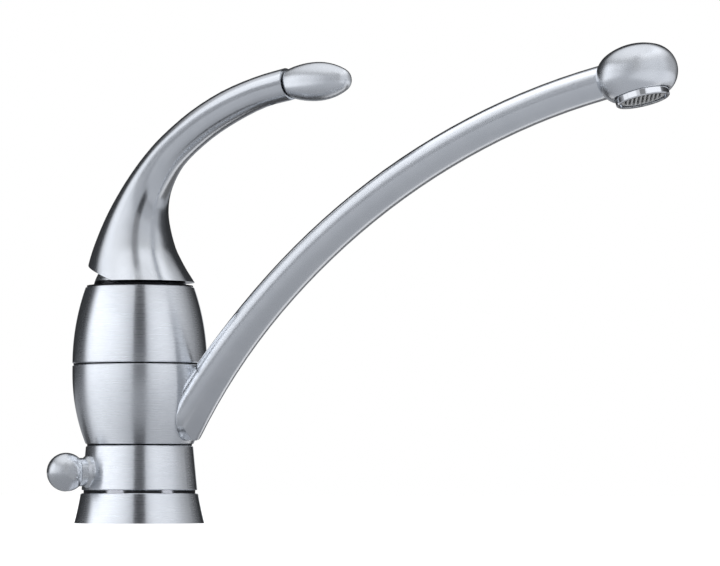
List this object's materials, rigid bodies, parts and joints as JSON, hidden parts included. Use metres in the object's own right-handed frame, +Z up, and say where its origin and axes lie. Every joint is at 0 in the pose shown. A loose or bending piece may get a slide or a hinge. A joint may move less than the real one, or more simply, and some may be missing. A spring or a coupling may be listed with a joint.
{
  "type": "mixer tap",
  "caption": "Single-lever kitchen mixer tap with a waisted satin metal body, a swivelling curved spout with a ball-shaped outlet, a lever with an egg-shaped knob and a shut-off valve.",
  "frame": {"origin": "centre of the base where its flange stands on the deck", "axes": "+Z up out of the deck, +X along the spout and the lever at rest, +Y to the cold side, so that the hot side is -Y"},
  "size_m": [0.2808, 0.0644, 0.2431],
  "materials": {
    "satin_nickel": "satin",
    "polished_ring": "polished",
    "black_rubber": "matte",
    "black_plastic": "matte",
    "white_plastic": "matte",
    "grey_plastic": "matte",
    "ceramic": "satin",
    "bare_brass": "satin",
    "plain_steel": "satin"
  },
  "bodies": {
    "fixed_body": {"base_flange": "satin_nickel", "base_seal": "black_rubber", "shadow_ring": "polished_ring", "mixer_body": "satin_nickel", "lower_glide_ring": "black_plastic", "spout_o_rings": "black_rubber", "upper_glide_ring": "black_plastic", "barrel": "satin_nickel", "dust_ring": "black_plastic", "cartridge_base": "white_plastic", "port_seals": "black_rubber", "cartridge_housing": "white_plastic", "fixed_ceramic_disc": "ceramic", "cartridge_nut": "bare_brass", "dome_cover": "satin_nickel", "valve_neck": "satin_nickel", "valve_seat_seal": "black_rubber", "valve_fixed_disc": "ceramic", "valve_o_ring": "black_rubber", "fixing_stud": "plain_steel", "fixing_rubber_washer": "black_rubber", "fixing_horseshoe_washer": "plain_steel", "fixing_nut": "bare_brass"},
    "swivel_spout": {"spout_hub": "satin_nickel", "spout_tube": "satin_nickel", "outlet_bulb": "satin_nickel", "aerator_housing": "polished_ring", "aerator_insert": "grey_plastic", "aerator_seal": "black_rubber"},
    "mixer_rotor": {"cartridge_rotor": "white_plastic", "pivot_pin": "plain_steel"},
    "lever": {"spindle_lever": "bare_brass", "lever_handle": "satin_nickel", "handle_grub_screw": "plain_steel", "knob_stem": "plain_steel", "lever_knob": "satin_nickel", "knob_grub_screw": "plain_steel"},
    "disc_slider": {"disc_carrier": "black_plastic", "moving_ceramic_disc": "ceramic"},
    "valve_handle": {"valve_spindle": "bare_brass", "valve_turning_disc": "ceramic", "valve_knob": "satin_nickel", "valve_knob_screw": "plain_steel"}
  },
  "joints": [
    {"name": "spout_swivel", "type": "hinge", "parent": "fixed_body", "child": "swivel_spout", "pos_m": [0, 0, 0.05], "axis": [0, 0, 1], "continuous": true},
    {"name": "lever_turn", "type": "hinge", "parent": "fixed_body", "child": "mixer_rotor", "pos_m": [0, 0, 0.085], "axis": [0, 0, 1], "range_deg": [-50, 50]},
    {"name": "lever_lift", "type": "hinge", "parent": "mixer_rotor", "child": "lever", "pos_m": [0, 0, 0.0949], "axis": [0, -1, 0], "range_deg": [0, 22]},
    {"name": "disc_slide", "type": "slide", "parent": "mixer_rotor", "child": "disc_slider", "axis": [1, 0, 0], "range_m": [0, 0.0035]},
    {"name": "valve_turn", "type": "hinge", "parent": "fixed_body", "child": "valve_handle", "pos_m": [0, 0, 0.0213], "axis": [-0.5299, -0.848, 0], "range_deg": [0, 90]}
  ],
  "couplings": [
    {"joint": "disc_slide", "follows": "lever_lift", "m_per_rad": 0.00878}
  ]
}
